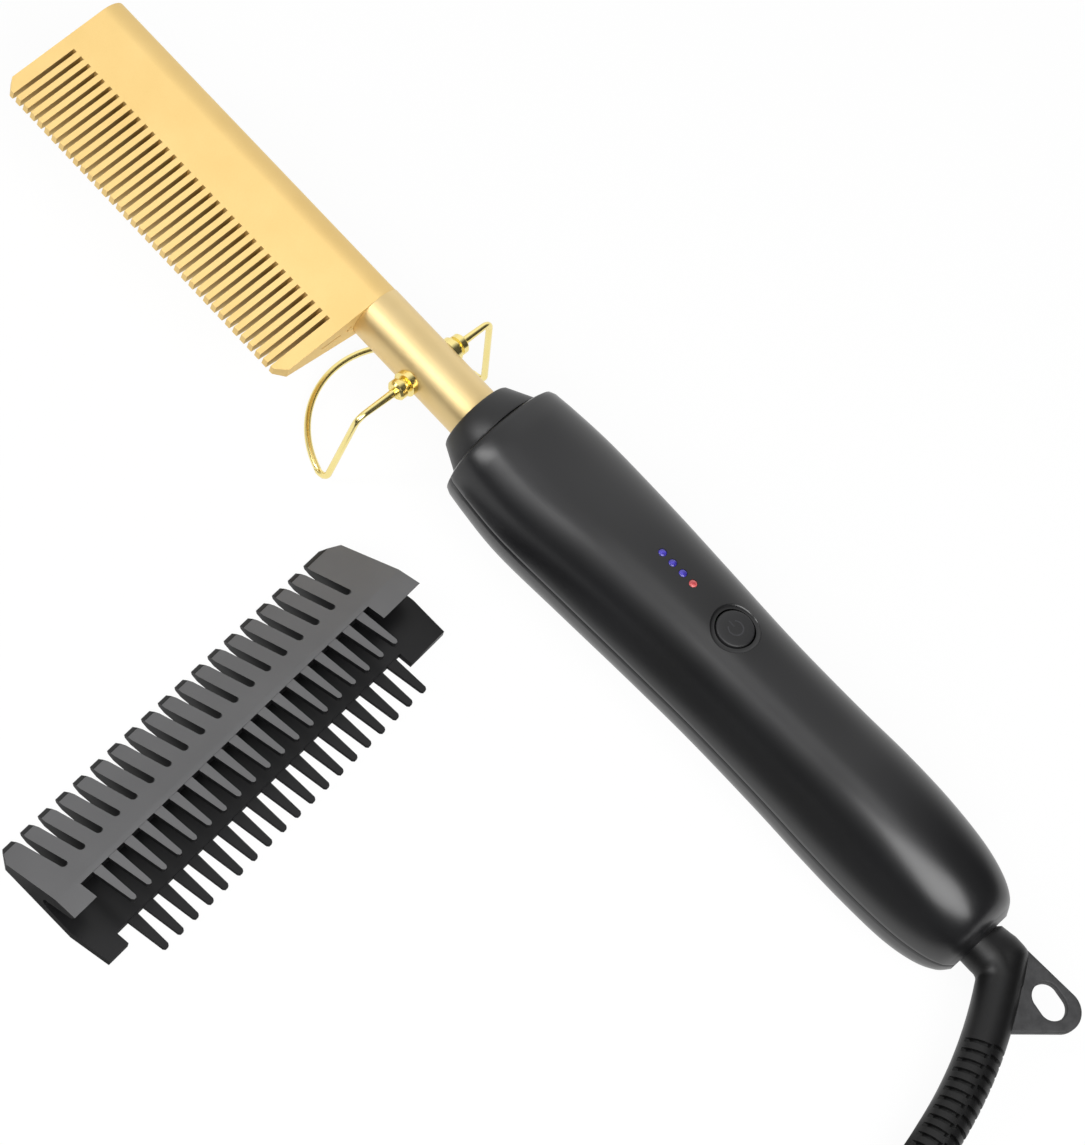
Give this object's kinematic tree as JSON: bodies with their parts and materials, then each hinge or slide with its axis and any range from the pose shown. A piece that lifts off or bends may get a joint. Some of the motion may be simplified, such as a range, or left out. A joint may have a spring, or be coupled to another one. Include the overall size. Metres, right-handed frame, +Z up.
{
  "type": "hair straightening brush",
  "caption": "Electric hot comb with a round-spined toothed metal blade, fold-away wire stand, push-button handle, swivelling corded end and a loose clip-on comb.",
  "frame": {"origin": "middle of the base of the tool and its loose comb as they lie on a table, without the cord", "axes": "+X along the tool from the comb blade towards the cord, +Z up from the table; the teeth point towards -Y"},
  "size_m": [0.4285, 0.1722, 0.0424],
  "materials": {
    "anodised_gold": "satin gold anodising",
    "gold_tube": "satin gold plating",
    "dark_steel": "black oxide",
    "ceramic": "fired ceramic",
    "lead_red": "silicone insulation",
    "sensor_glass": "fired",
    "polished_brass": "polished",
    "black_plastic": "fine satin",
    "natural_nylon": "natural",
    "handle_black": "satin gloss moulding",
    "zinc_steel": "zinc plated",
    "button_black": "fine texture",
    "blue_lens": "lit lens",
    "red_lens": "lit lens",
    "board_green": "solder mask",
    "chip_black": "moulded epoxy",
    "capacitor_yellow": "dipped film",
    "carbon_bronze": "plain",
    "lead_blue": "insulation",
    "black_rubber": "moulded",
    "tie_plastic": "strap",
    "nickel": "nickel plated",
    "comb_grey": "satin moulding"
  },
  "bodies": {
    "handle": {"comb_blade": "anodised_gold", "neck_tube": "gold_tube", "neck_set_screw": "dark_steel", "heater_rod": "ceramic", "heater_leads": "lead_red", "temperature_sensor": "sensor_glass", "stand_bosses": "polished_brass", "front_collar": "black_plastic", "tube_clamp": "natural_nylon", "upper_shell": "handle_black", "lower_shell": "handle_black", "shell_screws": "zinc_steel", "blue_lenses": "blue_lens", "red_lens": "red_lens", "circuit_board": "board_green", "board_screws": "zinc_steel", "tact_switch": "button_black", "indicator_leds": "natural_nylon", "triac": "chip_black", "film_capacitor": "capacitor_yellow", "controller_chip": "chip_black", "thermal_fuse": "ceramic", "swivel_socket": "natural_nylon", "contact_brushes": "carbon_bronze", "supply_leads": "lead_blue"},
    "stand": {"stand_wire": "polished_brass"},
    "button": {"power_button": "button_black"},
    "cord_swivel": {"swivel_barrel": "black_plastic", "slip_rings": "polished_brass", "strain_relief": "black_rubber", "cord_lead": "black_rubber", "cord_coil": "black_rubber", "cord_tail": "black_rubber", "cord_tie": "tie_plastic", "plug_body": "black_rubber", "plug_pins": "nickel"},
    "clip_comb": {"clip_on_comb": "comb_grey"}
  },
  "joints": [
    {"name": "stand_pivot", "type": "hinge", "parent": "handle", "child": "stand", "pos_m": [-0.04716, 0.06078, 0.02688], "axis": [0, -1, 0], "range_deg": [0, 84]},
    {"name": "button_press", "type": "slide", "parent": "handle", "child": "button", "axis": [-0.0794, 0, -0.9968], "range_m": [0, 0.0007], "stiffness_N_per_m": 600, "springref_m": -0.001},
    {"name": "cord_turn", "type": "hinge", "parent": "handle", "child": "cord_swivel", "pos_m": [0.12978, 0.06078, 0.01279], "axis": [0.9968, 0, -0.0794], "continuous": true},
    {"name": "clip_lift", "type": "slide", "parent": "handle", "child": "clip_comb", "axis": [0, 0, 1], "range_m": [0, 0.06]}
  ]
}
